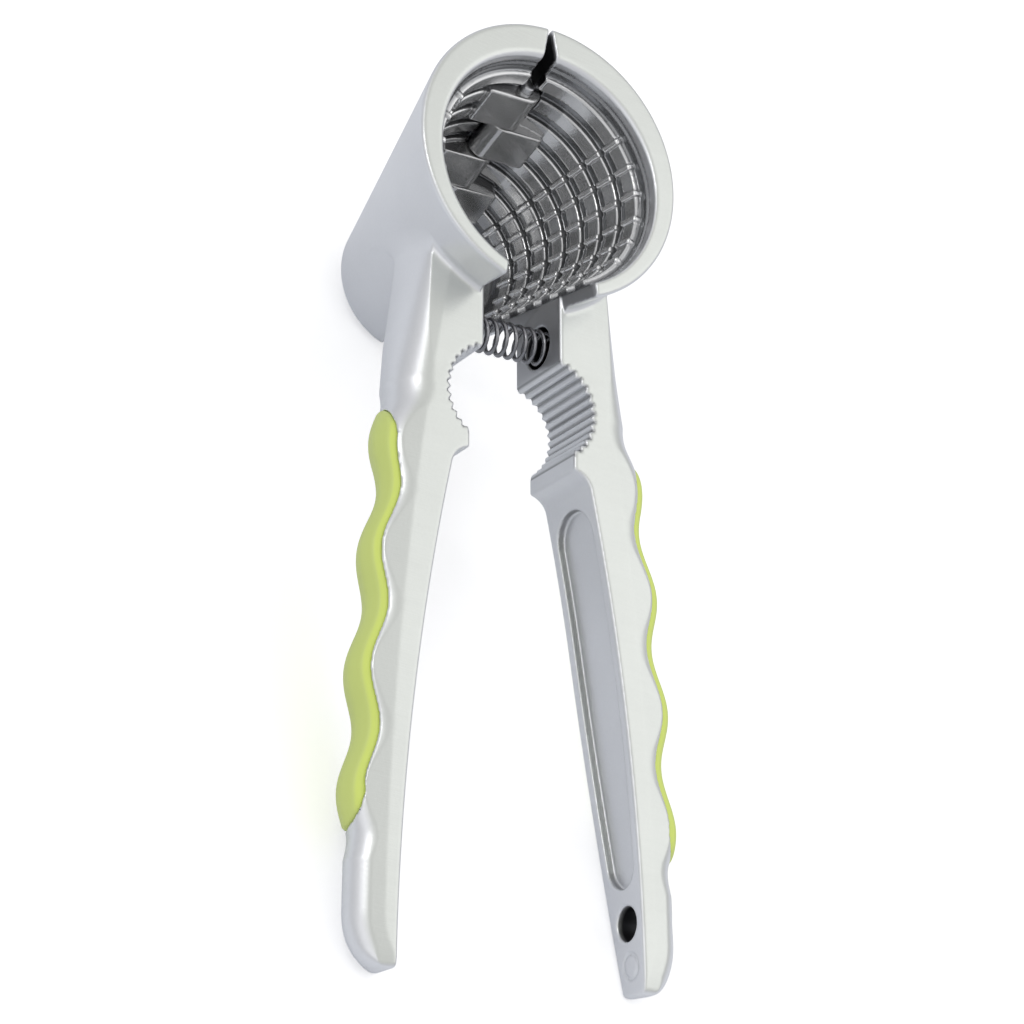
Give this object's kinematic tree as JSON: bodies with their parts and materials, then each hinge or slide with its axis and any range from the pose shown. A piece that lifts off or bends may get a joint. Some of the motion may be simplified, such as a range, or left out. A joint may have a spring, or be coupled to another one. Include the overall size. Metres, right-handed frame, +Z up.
{
  "type": "nutcracker",
  "caption": "Hinged nutcracker: two arms, each half of a ribbed funnel cup with a toothed jaw and a handle, held open by a coil spring.",
  "frame": {"origin": "centre of the footprint's bounding box, on the surface it rests on", "axes": "+Z up with the tool resting on its cup's foot edge and both handle tips, +Y towards the cup and its hinge, handles towards -Y, X across the two arms"},
  "size_m": [0.0648, 0.1621, 0.0634],
  "materials": {
    "casting": "satin pearl-plated die casting",
    "pin_steel": "turned steel",
    "spring_steel": "bright drawn wire",
    "grip": "satin soft plastic"
  },
  "bodies": {
    "left": {"left_arm": "casting", "hinge_pin": "pin_steel", "spring": "spring_steel", "left_grip": "grip"},
    "right": {"right_arm": "casting", "right_grip": "grip"}
  },
  "joints": [
    {"name": "cracker_hinge", "type": "hinge", "parent": "left", "child": "right", "pos_m": [0, 0.0748, 0.06228], "axis": [0, 0.0284, -0.9996], "range_deg": [0, 16], "stiffness_Nm_per_rad": 0.5, "springref_deg": -14.32, "deforming": ["spring"]}
  ]
}
